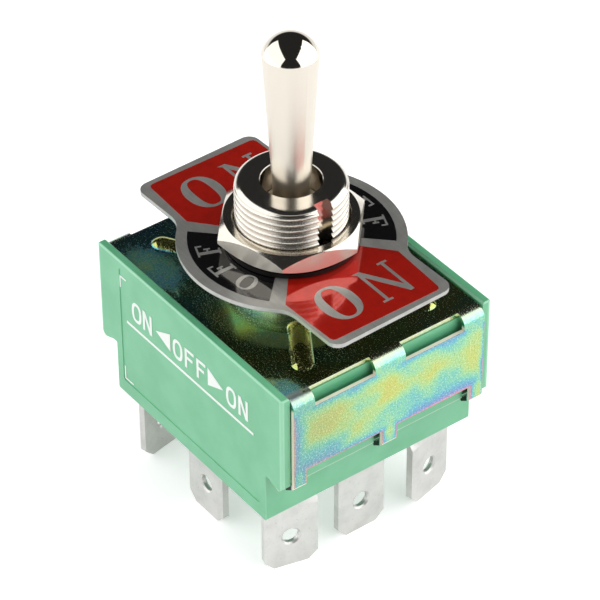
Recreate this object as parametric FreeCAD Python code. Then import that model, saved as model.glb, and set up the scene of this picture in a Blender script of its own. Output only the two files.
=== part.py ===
import FreeCAD, Part
import math
import os

# Panel toggle switch with three poles, each changing over between two
# circuits with an off position in the middle. All sizes are millimetres.
#
# Frame: X runs along the throw of the lever, Y along the row of three poles,
# Z up. The origin is on the axis of the threaded bushing, in the top face of
# the bracket, which is the plane that the panel stack is measured from.

V = FreeCAD.Vector
X_AXIS = V(1, 0, 0)
Y_AXIS = V(0, 1, 0)
Z_AXIS = V(0, 0, 1)

# Driving dimensions of the poles and their terminals
POLES = 3
POLE_PITCH = 9.3
BLADE_WIDTH = 6.2
BLADE_THICKNESS = 0.8
BLADE_LENGTH = 9.4
BLADE_CHAMFER = 1.1
BLADE_TIP_RADIUS = 0.3
BLADE_HOLE_DIAMETER = 1.9
BLADE_HOLE_UP = 4.0
BLADE_HOLE_CHAMFER = 0.2
END_BLADE_REACH = 12.25
COMMON_BLADE_OFFSET = 2.5
TWIST_LENGTH = 1.4
END_BLADE_TWISTS = {
    ("minus", 1): 11.0,
    ("plus", 1): -14.0,
    ("plus", 3): 14.0,
}

# Housing
SIDE_WALL = 1.1
END_WALL = 1.15
FLOOR = 1.45
SHOULDER = 2.9
EAR_PROUD = 0.6
EAR_DEPTH = 12.15
EAR_TIP_CHAMFER = 0.65
EAR_ROOT_RISE = 0.6
SIDE_WALL_PROUD = 0.4
TOP_EDGE_CHAMFER = 0.25
BARRIER = 0.9
BARRIER_GAP = 0.4
TERMINAL_PLAY = 0.12
LEG_POCKET_PLAY = 0.3
LEG_POCKET_DEPTH = 0.5
LEG_POCKET_RISE = 0.6
LABEL_RECESS = 0.08
LABEL_CORNER_RADIUS = 0.4
LABEL_LENGTH = 25.0
LABEL_HEIGHT = 15.6
LABEL_DROP = 0.6
CORNER_RADIUS = 0.45
WALL_EDGE_RADIUS = 0.25
EAR_EDGE_RADIUS = 0.2

# Bracket, one folded sheet
SHEET = 0.5
SHEET_PLAY = 0.1
FLANGE_GAP = 0.6
BEND_INNER_RADIUS = 0.75
SLOT_LENGTH = 7.75
SLOT_CENTRE = 5.85
SLOT_ON_TOP = 1.2
SLOT_ON_FLANGE = 1.7
FLANGE_LIFT = 2.35
LEG_LENGTH = 1.6
MIDDLE_LEG_WIDTH = 1.9
SIDE_LEG_WIDTH = 1.6
CRIMP_RADIUS = 0.25
CRIMP_ANGLE = 55.0
CRIMP_LENGTH = 1.4
BEAD_WIDTH = 2.4
BEAD_HEIGHT = 0.45
BEAD_ANGLE = 32.5
BEAD_INNER_RADIUS = 9.0
BEAD_OUTER_RADIUS = 14.8

# Bushing and what is stacked on it
THREAD_DIAMETER = 12.0
THREAD_PLAY = 0.05
BUSHING_HEIGHT = 12.45
BUSHING_EDGE_RADIUS = 0.9
BUSHING_MOUTH_DIAMETER = 6.5
COLLAR_DIAMETER = 14.4
COLLAR_HEIGHT = 1.2
COLLAR_EDGE_RADIUS = 0.3
TAIL_DIAMETER = 10.0
RIVET_LIP_DIAMETER = 11.4
RIVET_LIP_HEIGHT = 0.35
KEYWAY_WIDTH = 1.8
KEYWAY_DEPTH = 1.1
NUT_ACROSS_FLATS = 14.5
NUT_HEIGHT = 2.25
NUT_CHAMFER_ANGLE = 37.0
NUT_FACE_DIAMETER = 14.3
NUT_LEAD_IN = 0.25
UPPER_NUT_TURN = -43.0
LOWER_NUT_TURN = -20.0
LEGEND_HEIGHT = 4.45
LEGEND_SHEET = 0.5
LEGEND_HOLE_DIAMETER = 12.3
LEGEND_DISC_DIAMETER = 24.3
LEGEND_TAB_REACH = 17.0
LEGEND_TAB_WIDTH = 15.6
LEGEND_CORNER_RADIUS = 1.3
LEGEND_WAIST_RADIUS = 3.0
LEGEND_TURN = 1.5
WASHER_DIAMETER = 14.5
WASHER_RING = 0.75
WASHER_THICKNESS = 0.5
WASHER_TEETH = 12
WASHER_TOOTH_WIDTH = 1.1
WASHER_TOOTH_TWIST = 15.0

# Lever, its ball and its pivot pin
LEVER_TILT = 11.5
PIVOT_HEIGHT = 6.8
BALL_DIAMETER = 8.0
BALL_PLAY = 0.1
PIN_DIAMETER = 1.6
PIN_PLAY = 0.1
PIN_LENGTH = 10.8
BAT_SHOULDER_HEIGHT = 28.3
BAT_DOME_HEIGHT = 2.05
BAT_SHOULDER_DIAMETER = 5.94
BAT_NECK_DIAMETER = 3.8
ARM_DIAMETER = 2.5
ARM_BALL_DIAMETER = 3.0
ARM_BALL_PLAY = 0.15

# Insulating plate and the moulded carrier that slides under it
PLATE_GAP = 0.6
PLATE_THICKNESS = 0.5
PLATE_LEDGE = 0.7
CARRIER_GAP = 0.15
CARRIER_THICKNESS = 1.8
CARRIER_LENGTH = 8.0
CARRIER_SIDE_PLAY = 0.3
ARM_BALL_DROP = 0.9
SOCKET_DEPTH = 2.8
TUBE_DIAMETER = 4.6
TUBE_REACH = 5.9
SPRING_SEAT_DROP = 3.4
SPRING_LENGTH = 1.8
SPRING_WIRE = 0.32
SPRING_DIAMETER = 2.2
SPRING_TURNS = 3.0
PLUNGER_DIAMETER = 2.6
PLUNGER_PLAY = 0.1
PLUNGER_STANDOUT = 2.9

# Rocking contacts, their cradles and the fixed contacts
ROCKER_TILT = 7.0
ROCKER_GAP = 0.1
ROCKER_WIDTH = 3.0
ROCKER_REACH = 9.9
ROCKER_THICKNESS = 0.6
ROCKER_SEAT_ABOVE_PIVOT = 0.5
TRUNNION_DIAMETER = 0.8
TRUNNION_PLAY = 0.1
CRADLE_ABOVE_PIVOT = 0.45
CRADLE_BELOW_PIVOT = 4.35
CRADLE_NECK_WIDTH = 3.6
CRADLE_SHOULDER_SHARE = 0.45
CRADLE_TAPER_HEIGHT = 1.6
CRADLE_BEND_RADIUS = 0.5
CRADLE_TIP_RADIUS = 0.3
CONTACT_REACH = 9.0
CONTACT_DIAMETER = 2.2
CONTACT_HEIGHT = 0.5
CONTACT_CROWN = 0.12
RIVET_DIAMETER = 1.0
CLOSED_CONTACT_GAP = 0.08
SHELF_INNER_REACH = 7.4
FOLD_INNER_RADIUS = 0.3

# Values worked out from the driving dimensions
pole_centres = [(i - (POLES - 1) / 2.0) * POLE_PITCH for i in range(POLES)]
inner_half_width = pole_centres[-1] + BLADE_WIDTH / 2 + TERMINAL_PLAY
half_width = inner_half_width + SIDE_WALL
lower_cavity_half = END_BLADE_REACH + TERMINAL_PLAY
lower_half = lower_cavity_half + END_WALL
ear_half = lower_half + SHOULDER
end_face = ear_half - EAR_PROUD
flange_inner = end_face + FLANGE_GAP
flange_outer = flange_inner + SHEET
bracket_half_width = inner_half_width - SHEET_PLAY

lip_bottom = -SHEET - RIVET_LIP_HEIGHT
plate_top = lip_bottom - PLATE_GAP
plate_bottom = plate_top - PLATE_THICKNESS
upper_cavity_half = end_face - END_WALL
ledge_half = upper_cavity_half - PLATE_LEDGE
carrier_top = plate_bottom - CARRIER_GAP
carrier_bottom = carrier_top - CARRIER_THICKNESS
barrier_top = carrier_bottom - BARRIER_GAP
tube_bottom = carrier_top - TUBE_REACH
spring_top = carrier_top - SPRING_SEAT_DROP
plunger_top = spring_top - SPRING_LENGTH
plunger_tip = tube_bottom - PLUNGER_STANDOUT
rocker_seat = plunger_tip - ROCKER_GAP
rocker_pivot = rocker_seat - ROCKER_SEAT_ABOVE_PIVOT
cradle_foot = rocker_pivot - CRADLE_BELOW_PIVOT
floor_top = cradle_foot - BLADE_THICKNESS
housing_bottom = floor_top - FLOOR
blade_bottom = housing_bottom - BLADE_LENGTH
shoulder_bottom = -EAR_DEPTH
cavity_step = shoulder_bottom + END_WALL
flange_bottom = shoulder_bottom + FLANGE_LIFT
leg_seat = flange_bottom - LEG_LENGTH

bat_tip = BAT_SHOULDER_HEIGHT + BAT_DOME_HEIGHT
arm_ball_centre = carrier_top - ARM_BALL_DROP
arm_length = PIVOT_HEIGHT - arm_ball_centre
carrier_travel = arm_length * math.sin(math.radians(LEVER_TILT))

legend_top = LEGEND_HEIGHT + LEGEND_SHEET
# The twisted teeth stand proud of the ring and carry the nut
tooth_twist = math.radians(WASHER_TOOTH_TWIST)
washer_seat_height = (WASHER_THICKNESS * math.cos(tooth_twist)
                      + WASHER_TOOTH_WIDTH * math.sin(tooth_twist))
upper_nut_bottom = legend_top + washer_seat_height
lower_nut_bottom = LEGEND_HEIGHT - NUT_HEIGHT


def box(x0, x1, y0, y1, z0, z1):
    return Part.makeBox(x1 - x0, y1 - y0, z1 - z0, V(x0, y0, z0))


def cylinder(radius, start, end):
    along = end - start
    return Part.makeCylinder(radius, along.Length, start, along)


def fuse(first, *others):
    shape = first
    for other in others:
        shape = shape.fuse(other)
    return shape.removeSplitter()


def rounded_wire(corners, place):
    """A closed wire through (u, v, radius) corners; place maps u, v to a point."""
    count = len(corners)
    starts = []
    edges = []
    for i in range(count):
        u, v, radius = corners[i]
        corner = V(u, v, 0)
        before = V(*corners[i - 1][:2], 0) - corner
        after = V(*corners[(i + 1) % count][:2], 0) - corner
        if radius <= 0:
            starts.append((corner, None, corner))
            continue
        half_turn = before.getAngle(after) / 2
        back = radius / math.tan(half_turn)
        before.normalize()
        after.normalize()
        first = corner + before * back
        last = corner + after * back
        bisector = before + after
        bisector.normalize()
        centre = corner + bisector * (radius / math.sin(half_turn))
        starts.append((first, centre - bisector * radius, last))
    for i in range(count):
        first, middle, last = starts[i]
        following = starts[(i + 1) % count][0]
        if middle is not None:
            points = [place(p.x, p.y) for p in (first, middle, last)]
            edges.append(Part.Arc(*points).toShape())
        if (following - last).Length > 1e-6:
            edges.append(Part.LineSegment(place(last.x, last.y),
                                          place(following.x, following.y)).toShape())
    return Part.Wire(edges)


def profile_along_y(corners, y0, y1):
    """Extrude an outline of (x, z, radius) corners from y0 to y1."""
    wire = rounded_wire(corners, lambda u, v: V(u, y0, v))
    return Part.Face(wire).extrude(V(0, y1 - y0, 0))


def profile_along_x(corners, x0, x1):
    """Extrude an outline of (y, z, radius) corners from x0 to x1."""
    wire = rounded_wire(corners, lambda u, v: V(x0, u, v))
    return Part.Face(wire).extrude(V(x1 - x0, 0, 0))


def profile_along_z(corners, z0, z1):
    """Extrude an outline of (x, y, radius) corners from z0 to z1."""
    wire = rounded_wire(corners, lambda u, v: V(u, v, z0))
    return Part.Face(wire).extrude(V(0, 0, z1 - z0))


def revolved(corners):
    """Turn an outline of (radius, z, fillet) corners about the Z axis."""
    wire = rounded_wire(corners, lambda u, v: V(u, 0, v))
    return Part.Face(wire).revolve(V(0, 0, 0), Z_AXIS, 360)


def mirrored_x(shape):
    return shape.mirror(V(0, 0, 0), X_AXIS)


def with_mirror_x(shape):
    return [shape, mirrored_x(shape)]


def save(name, shape):
    shape = shape.copy()
    assert shape.isValid(), name
    shape.exportStep("parts/%s.step" % name)
    print("%-24s solids %d volume %9.3f" % (name, len(shape.Solids), shape.Volume))


def side_outline():
    """The long walls seen along Y: ears at both ends above a narrower body."""
    root_z = -EAR_DEPTH + EAR_ROOT_RISE
    right = [
        (ear_half, SIDE_WALL_PROUD, EAR_EDGE_RADIUS),
        (ear_half, -EAR_DEPTH + EAR_TIP_CHAMFER, EAR_EDGE_RADIUS),
        (ear_half - EAR_TIP_CHAMFER, -EAR_DEPTH, EAR_EDGE_RADIUS),
        (lower_half + EAR_TIP_CHAMFER, root_z, 0),
        (lower_half, root_z, EAR_EDGE_RADIUS),
        (lower_half, housing_bottom, CORNER_RADIUS),
    ]
    left = [(-x, z, radius) for x, z, radius in reversed(right)]
    return right + left


def long_wall():
    """The long wall at -Y, with its outer edges rounded."""
    wall = profile_along_y(side_outline(), -half_width, -inner_half_width)
    edge = WALL_EDGE_RADIUS
    low = housing_bottom
    high = SIDE_WALL_PROUD
    reach = ear_half + 1
    along_x = profile_along_x([
        (-half_width, high, edge), (-half_width, low, edge),
        (-inner_half_width + 1, low, 0), (-inner_half_width + 1, high, 0)], -reach, reach)
    along_z = profile_along_z([
        (ear_half, -half_width, edge), (ear_half, -inner_half_width + 1, 0),
        (-ear_half, -inner_half_width + 1, 0), (-ear_half, -half_width, edge)], low - 1, high + 1)
    return wall.common(along_x).common(along_z)


def housing_blank():
    """Outside of the moulding before it is hollowed."""
    outer_wall = inner_half_width
    near = long_wall()
    long_walls = [near, near.mirror(V(0, 0, 0), Y_AXIS)]
    middle = profile_along_y([
        (end_face, -SHEET - SHEET_PLAY / 2, 0),
        (end_face, shoulder_bottom, EAR_EDGE_RADIUS),
        (lower_half, shoulder_bottom, EAR_EDGE_RADIUS),
        (lower_half, housing_bottom, CORNER_RADIUS),
        (-lower_half, housing_bottom, CORNER_RADIUS),
        (-lower_half, shoulder_bottom, EAR_EDGE_RADIUS),
        (-end_face, shoulder_bottom, EAR_EDGE_RADIUS),
        (-end_face, -SHEET - SHEET_PLAY / 2, 0),
    ], -outer_wall, outer_wall)
    return fuse(middle, *long_walls)


def end_blade_slot(side, y_centre):
    """Through hole in the floor for one end terminal."""
    play = TERMINAL_PLAY / 2
    outer = END_BLADE_REACH + play
    inner = END_BLADE_REACH - BLADE_THICKNESS - play
    half = BLADE_WIDTH / 2 + play
    slot = box(inner, outer, y_centre - half, y_centre + half, housing_bottom - 1, floor_top + 1)
    return slot if side == "plus" else mirrored_x(slot)


def common_blade_slot(y_centre):
    """Through hole in the floor for one common terminal."""
    play = TERMINAL_PLAY / 2
    outer = y_centre - COMMON_BLADE_OFFSET - play
    inner = y_centre - COMMON_BLADE_OFFSET + BLADE_THICKNESS + play
    half = BLADE_WIDTH / 2 + play
    return box(-half, half, outer, inner, housing_bottom - 1, floor_top + 1)


def make_housing():
    body = housing_blank()
    rim = SIDE_WALL_PROUD + 1
    cuts = [
        # Recess that takes the insulating plate on its ledge
        box(-upper_cavity_half, upper_cavity_half, -inner_half_width, inner_half_width,
            plate_bottom, rim),
        # Open space in which the carrier slides
        box(-ledge_half, ledge_half, -inner_half_width, inner_half_width, barrier_top, rim),
    ]
    # One chamber for each pole, stepped in at the height of the shoulders
    for i, y in enumerate(pole_centres):
        low = -inner_half_width if i == 0 else y - POLE_PITCH / 2 + BARRIER / 2
        high = inner_half_width if i == POLES - 1 else y + POLE_PITCH / 2 - BARRIER / 2
        cuts.append(box(-ledge_half, ledge_half, low, high, cavity_step, rim))
        cuts.append(box(-lower_cavity_half, lower_cavity_half, low, high, floor_top, rim))
        cuts.append(common_blade_slot(y))
        for side in ("plus", "minus"):
            cuts.append(end_blade_slot(side, y))
    # Grooves down the shoulders beside the bracket's legs
    pocket_half = MIDDLE_LEG_WIDTH / 2 + LEG_POCKET_PLAY
    side_pocket = inner_half_width - SIDE_LEG_WIDTH - LEG_POCKET_PLAY
    spans = [(-pocket_half, pocket_half), (side_pocket, inner_half_width),
             (-inner_half_width, -side_pocket)]
    for low, high in spans:
        pocket = box(end_face - LEG_POCKET_DEPTH, end_face + 1, low, high, shoulder_bottom - 1,
                     flange_bottom + LEG_POCKET_RISE)
        cuts += with_mirror_x(pocket)
    # Shallow panel for the printing on the near long wall
    top = -LABEL_DROP
    cuts.append(profile_along_y([
        (-LABEL_LENGTH / 2, top, LABEL_CORNER_RADIUS),
        (LABEL_LENGTH / 2, top, LABEL_CORNER_RADIUS),
        (LABEL_LENGTH / 2, top - LABEL_HEIGHT, LABEL_CORNER_RADIUS),
        (-LABEL_LENGTH / 2, top - LABEL_HEIGHT, LABEL_CORNER_RADIUS),
    ], -half_width - 1, -half_width + LABEL_RECESS))
    # Chamfer along the inner top edge of both long walls
    for sign in (1, -1):
        bevel = profile_along_x([
            (sign * inner_half_width, SIDE_WALL_PROUD - TOP_EDGE_CHAMFER, 0),
            (sign * (inner_half_width + TOP_EDGE_CHAMFER), SIDE_WALL_PROUD, 0),
            (sign * (inner_half_width + TOP_EDGE_CHAMFER), SIDE_WALL_PROUD + 1, 0),
            (sign * (inner_half_width - 1), SIDE_WALL_PROUD + 1, 0),
            (sign * (inner_half_width - 1), SIDE_WALL_PROUD - TOP_EDGE_CHAMFER, 0),
        ], -ear_half - 1, ear_half + 1)
        cuts.append(bevel)
    return body.cut(cuts[0].fuse(cuts[1:])).removeSplitter()


def bead(angle, radius, inner):
    """A round-ended bar with a round back, lying along a ray from the bushing."""
    axis_height = BEAD_HEIGHT - (BEAD_WIDTH ** 2 / 4 + BEAD_HEIGHT ** 2) / (2 * BEAD_HEIGHT)
    start = V(inner, 0, axis_height)
    end = V(BEAD_OUTER_RADIUS, 0, axis_height)
    bar = cylinder(radius, start, end)
    bar = bar.fuse(Part.makeSphere(radius, start)).fuse(Part.makeSphere(radius, end))
    bar.rotate(V(0, 0, 0), Z_AXIS, angle)
    return bar


def make_bracket():
    outer_radius = BEND_INNER_RADIUS + SHEET
    crimp = math.radians(CRIMP_ANGLE)
    # The fold at the foot of a leg turns about this centre
    fold_x = flange_inner - CRIMP_RADIUS
    fold_z = leg_seat
    # Sheet seen along Y: flat top, bend and flange
    outer = [(flange_outer, 0, outer_radius), (flange_outer, flange_bottom, 0)]
    inner = [(flange_inner, flange_bottom, 0), (flange_inner, -SHEET, BEND_INNER_RADIUS)]
    outline_right = outer + inner
    outline_left = [(-x, z, r) for x, z, r in reversed(outline_right)]
    shell = profile_along_y(outline_right + outline_left, -bracket_half_width, bracket_half_width)
    # Legs: a straight part, a fold revolved about Y and a short straight tip
    ring_profile = Part.makePolygon([
        V(flange_inner, 0, fold_z), V(flange_outer, 0, fold_z),
        V(flange_outer, 1, fold_z), V(flange_inner, 1, fold_z), V(flange_inner, 0, fold_z)])
    ring = Part.Face(ring_profile).revolve(V(fold_x, 0, fold_z), Y_AXIS, CRIMP_ANGLE)
    tip_direction = V(-math.sin(crimp), 0, -math.cos(crimp)) * CRIMP_LENGTH
    tip_face = Part.Face(ring_profile)
    tip_face.rotate(V(fold_x, 0, fold_z), Y_AXIS, CRIMP_ANGLE)
    straight = box(flange_inner, flange_outer, 0, 1, fold_z, flange_bottom)
    foot = ring.fuse([straight, tip_face.extrude(tip_direction)]).removeSplitter()
    spans = [(-MIDDLE_LEG_WIDTH / 2, MIDDLE_LEG_WIDTH),
             (bracket_half_width - SIDE_LEG_WIDTH, SIDE_LEG_WIDTH),
             (-bracket_half_width, SIDE_LEG_WIDTH)]
    feet = []
    for low, width in spans:
        stretch = FreeCAD.Matrix()
        stretch.A22 = width
        leg = foot.transformGeometry(stretch)
        leg.translate(V(0, low, 0))
        feet += with_mirror_x(leg)
    # Slots across the bends
    cuts = []
    slot_low = SLOT_CENTRE - SLOT_LENGTH / 2
    slot_high = SLOT_CENTRE + SLOT_LENGTH / 2
    for sign in (1, -1):
        y = sorted((sign * slot_low, sign * slot_high))
        cuts += with_mirror_x(box(flange_outer - SLOT_ON_TOP, flange_outer + 1, y[0], y[1],
                                  -SLOT_ON_FLANGE, 1))
    cuts.append(cylinder(TAIL_DIAMETER / 2 + SHEET_PLAY / 2, V(0, 0, -SHEET - 1), V(0, 0, 1)))
    bracket = fuse(shell, *feet).cut(cuts[0].fuse(cuts[1:]))
    # Pressed beads: raised above the sheet and hollow below it
    ridge = (BEAD_WIDTH ** 2 / 4 + BEAD_HEIGHT ** 2) / (2 * BEAD_HEIGHT)
    above = box(-flange_inner, flange_inner, -bracket_half_width, bracket_half_width, -SHEET / 2, 2)
    for angle in (BEAD_ANGLE, -BEAD_ANGLE, 180 - BEAD_ANGLE, BEAD_ANGLE - 180):
        bracket = bracket.fuse(bead(angle, ridge, BEAD_INNER_RADIUS).common(above))
        bracket = bracket.cut(bead(angle, ridge - SHEET, BEAD_INNER_RADIUS))
    return bracket.removeSplitter()


def make_bushing():
    radius = THREAD_DIAMETER / 2
    mouth = BUSHING_MOUTH_DIAMETER / 2
    bore = BALL_DIAMETER / 2 + BALL_PLAY
    seat_z = PIVOT_HEIGHT + math.sqrt(bore ** 2 - mouth ** 2)
    bottom = lip_bottom
    outer = [
        (0, bottom, 0), (RIVET_LIP_DIAMETER / 2, bottom, 0.15),
        (RIVET_LIP_DIAMETER / 2, -SHEET, 0), (TAIL_DIAMETER / 2, -SHEET, 0),
        (TAIL_DIAMETER / 2, 0, 0), (COLLAR_DIAMETER / 2, 0, 0),
        (COLLAR_DIAMETER / 2, COLLAR_HEIGHT, COLLAR_EDGE_RADIUS), (radius, COLLAR_HEIGHT, 0),
        (radius, BUSHING_HEIGHT, BUSHING_EDGE_RADIUS), (0, BUSHING_HEIGHT, 0),
    ]
    shape = revolved(outer)
    # Bore with a round seat under the mouth, which traps the ball
    middle = V(bore * math.cos(math.radians(20)), 0, PIVOT_HEIGHT + bore * math.sin(math.radians(20)))
    seat = Part.Arc(V(bore, 0, PIVOT_HEIGHT), middle, V(mouth, 0, seat_z)).toShape()
    points = [V(mouth, 0, seat_z), V(mouth, 0, BUSHING_HEIGHT + 1), V(0, 0, BUSHING_HEIGHT + 1),
              V(0, 0, bottom - 1), V(bore, 0, bottom - 1), V(bore, 0, PIVOT_HEIGHT)]
    sides = [Part.LineSegment(a, b).toShape() for a, b in zip(points, points[1:])]
    hollow = Part.Face(Part.Wire([seat] + sides)).revolve(V(0, 0, 0), Z_AXIS, 360)
    keyway = box(radius - KEYWAY_DEPTH, radius + 1, -KEYWAY_WIDTH / 2, KEYWAY_WIDTH / 2,
                 COLLAR_HEIGHT, BUSHING_HEIGHT + 1)
    pin_hole = cylinder(PIN_DIAMETER / 2, V(0, -radius - 1, PIVOT_HEIGHT),
                        V(0, radius + 1, PIVOT_HEIGHT))
    return shape.cut(hollow.fuse([keyway, pin_hole]))


def make_pivot_pin():
    return cylinder(PIN_DIAMETER / 2, V(0, -PIN_LENGTH / 2, PIVOT_HEIGHT),
                    V(0, PIN_LENGTH / 2, PIVOT_HEIGHT))


def make_nut(bottom, turn):
    """Hexagon nut with both faces chamfered, so its flats end in arcs."""
    corner = NUT_ACROSS_FLATS / 2 / math.cos(math.radians(30))
    points = [V(corner * math.cos(math.radians(60 * i)), corner * math.sin(math.radians(60 * i)), bottom)
              for i in range(7)]
    hexagon = Part.Face(Part.makePolygon(points)).extrude(V(0, 0, NUT_HEIGHT))
    face = NUT_FACE_DIAMETER / 2
    top = bottom + NUT_HEIGHT
    # Both chamfers run out until they meet half way up
    widest = face + NUT_HEIGHT / 2 / math.tan(math.radians(NUT_CHAMFER_ANGLE))
    turned = revolved([
        (0, bottom, 0), (face, bottom, 0), (widest, bottom + NUT_HEIGHT / 2, 0),
        (face, top, 0), (0, top, 0)])
    bore = THREAD_DIAMETER / 2 + THREAD_PLAY
    lead_in = NUT_LEAD_IN
    hole = revolved([
        (0, bottom - 1, 0), (bore + lead_in + 1, bottom - 1, 0), (bore, bottom + lead_in, 0),
        (bore, top - lead_in, 0), (bore + lead_in + 1, top + 1, 0), (0, top + 1, 0)])
    nut = hexagon.common(turned).cut(hole)
    nut.rotate(V(0, 0, 0), Z_AXIS, turn)
    return nut


def make_lock_washer():
    """Flat ring with twisted teeth on its inner edge."""
    middle = legend_top + washer_seat_height / 2
    outer = WASHER_DIAMETER / 2
    inner = outer - WASHER_RING
    tooth_end = THREAD_DIAMETER / 2 + 2 * THREAD_PLAY
    low = middle - WASHER_THICKNESS / 2
    ring = cylinder(outer, V(0, 0, low), V(0, 0, low + WASHER_THICKNESS))
    ring = ring.cut(cylinder(inner, V(0, 0, low - 1), V(0, 0, low + 2)))
    shape = ring
    for i in range(WASHER_TEETH):
        tooth = box(tooth_end, inner + 0.2, -WASHER_TOOTH_WIDTH / 2, WASHER_TOOTH_WIDTH / 2,
                    middle - WASHER_THICKNESS / 2, middle + WASHER_THICKNESS / 2)
        tooth.rotate(V(0, 0, middle), X_AXIS, WASHER_TOOTH_TWIST)
        tooth.rotate(V(0, 0, 0), Z_AXIS, 360.0 * i / WASHER_TEETH)
        shape = shape.fuse(tooth)
    return shape


def make_legend_plate():
    """Disc with two broad tabs, one over each ON position of the lever."""
    disc = LEGEND_DISC_DIAMETER / 2
    half_tab = LEGEND_TAB_WIDTH / 2
    waist = LEGEND_WAIST_RADIUS
    # The waist arc touches the tab's straight edge and the disc
    waist_y = half_tab + waist
    waist_x = math.sqrt((disc + waist) ** 2 - waist_y ** 2)
    meet = V(waist_x, waist_y, 0) * (disc / (disc + waist))
    straight = V(waist_x, half_tab, 0)
    half_angle = (math.atan2(meet.y - waist_y, meet.x - waist_x) + (-math.pi / 2)) / 2
    bend = V(waist_x + waist * math.cos(half_angle), waist_y + waist * math.sin(half_angle), 0)
    corner = LEGEND_CORNER_RADIUS
    reach = LEGEND_TAB_REACH
    start = V(reach - corner, half_tab, 0)
    round_middle = V(reach - corner + corner * math.sqrt(0.5), half_tab - corner + corner * math.sqrt(0.5), 0)
    end = V(reach, half_tab - corner, 0)
    edges = []
    # The same quarter in all four places, then the ends and the disc between
    for x, y in ((1, 1), (1, -1), (-1, 1), (-1, -1)):
        points = [V(p.x * x, p.y * y, 0) for p in (meet, bend, straight, start, round_middle, end)]
        edges.append(Part.Arc(points[0], points[1], points[2]).toShape())
        edges.append(Part.LineSegment(points[2], points[3]).toShape())
        edges.append(Part.Arc(points[3], points[4], points[5]).toShape())
    for side in (1, -1):
        edges.append(Part.LineSegment(V(side * end.x, end.y, 0), V(side * end.x, -end.y, 0)).toShape())
        edges.append(Part.Arc(V(meet.x, side * meet.y, 0), V(0, side * disc, 0),
                              V(-meet.x, side * meet.y, 0)).toShape())
    outline = Part.Wire(Part.__sortEdges__(edges))
    plate = Part.Face(outline).extrude(V(0, 0, LEGEND_SHEET))
    plate = plate.cut(cylinder(LEGEND_HOLE_DIAMETER / 2, V(0, 0, -1), V(0, 0, 2)))
    plate.translate(V(0, 0, LEGEND_HEIGHT))
    plate.rotate(V(0, 0, 0), Z_AXIS, LEGEND_TURN)
    return plate


def make_lever():
    """Bat, ball and lower arm, turned from one bar."""
    ball = BALL_DIAMETER / 2
    neck = BAT_NECK_DIAMETER / 2
    shoulder = BAT_SHOULDER_DIAMETER / 2
    arm = ARM_DIAMETER / 2
    arm_ball = ARM_BALL_DIAMETER / 2
    neck_z = PIVOT_HEIGHT + math.sqrt(ball ** 2 - neck ** 2)
    arm_top = PIVOT_HEIGHT - math.sqrt(ball ** 2 - arm ** 2)
    arm_end = arm_ball_centre + math.sqrt(arm_ball ** 2 - arm ** 2)
    # The dome is part of a ball that meets the cone at the shoulder
    dome = BAT_DOME_HEIGHT
    dome_radius = (shoulder ** 2 + dome ** 2) / (2 * dome)
    dome_centre = bat_tip - dome_radius
    half_way = (math.atan2(BAT_SHOULDER_HEIGHT - dome_centre, shoulder) + math.pi / 2) / 2
    dome_middle = V(dome_radius * math.cos(half_way), 0, dome_centre + dome_radius * math.sin(half_way))
    edges = [
        Part.LineSegment(V(0, 0, bat_tip), V(0, 0, arm_ball_centre - arm_ball)).toShape(),
        Part.Arc(V(0, 0, arm_ball_centre - arm_ball), V(arm_ball, 0, arm_ball_centre),
                 V(arm, 0, arm_end)).toShape(),
        Part.LineSegment(V(arm, 0, arm_end), V(arm, 0, arm_top)).toShape(),
        Part.Arc(V(arm, 0, arm_top), V(ball, 0, PIVOT_HEIGHT), V(neck, 0, neck_z)).toShape(),
        Part.LineSegment(V(neck, 0, neck_z), V(shoulder, 0, BAT_SHOULDER_HEIGHT)).toShape(),
        Part.Arc(V(shoulder, 0, BAT_SHOULDER_HEIGHT), dome_middle, V(0, 0, bat_tip)).toShape(),
    ]
    lever = Part.Face(Part.Wire(edges)).revolve(V(0, 0, 0), Z_AXIS, 360)
    hole = PIN_DIAMETER / 2 + PIN_PLAY
    return lever.cut(cylinder(hole, V(0, -ball - 1, PIVOT_HEIGHT), V(0, ball + 1, PIVOT_HEIGHT)))


def make_insulating_plate():
    """Fibre sheet on the housing's ledge, slotted for the lever's arm."""
    play = SHEET_PLAY / 2
    plate = box(-upper_cavity_half + play, upper_cavity_half - play,
                -inner_half_width + play, inner_half_width - play, plate_bottom, plate_top)
    half = ARM_BALL_DIAMETER / 2 + 2 * ARM_BALL_PLAY
    slot = fuse(box(-carrier_travel, carrier_travel, -half, half, plate_bottom - 1, plate_top + 1),
                *[cylinder(half, V(x, 0, plate_bottom - 1), V(x, 0, plate_top + 1))
                  for x in (-carrier_travel, carrier_travel)])
    return plate.cut(slot)


def make_carrier():
    """Moulded slide that the lever's arm pushes, with one tube over each pole."""
    half_y = inner_half_width - CARRIER_SIDE_PLAY
    half_x = CARRIER_LENGTH / 2
    shape = profile_along_z([
        (half_x, half_y, 1.0), (-half_x, half_y, 1.0), (-half_x, -half_y, 1.0), (half_x, -half_y, 1.0)],
        carrier_bottom, carrier_top)
    tube = TUBE_DIAMETER / 2
    socket = ARM_BALL_DIAMETER / 2 + ARM_BALL_PLAY
    bore = PLUNGER_DIAMETER / 2 + PLUNGER_PLAY
    shape = fuse(shape, *[cylinder(tube, V(0, y, tube_bottom), V(0, y, carrier_bottom + 0.5))
                          for y in pole_centres])
    cuts = [cylinder(bore, V(0, y, tube_bottom - 1), V(0, y, spring_top)) for y in pole_centres]
    cuts.append(cylinder(socket, V(0, 0, carrier_top - SOCKET_DEPTH), V(0, 0, carrier_top + 1)))
    return shape.cut(cuts[0].fuse(cuts[1:]))


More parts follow.
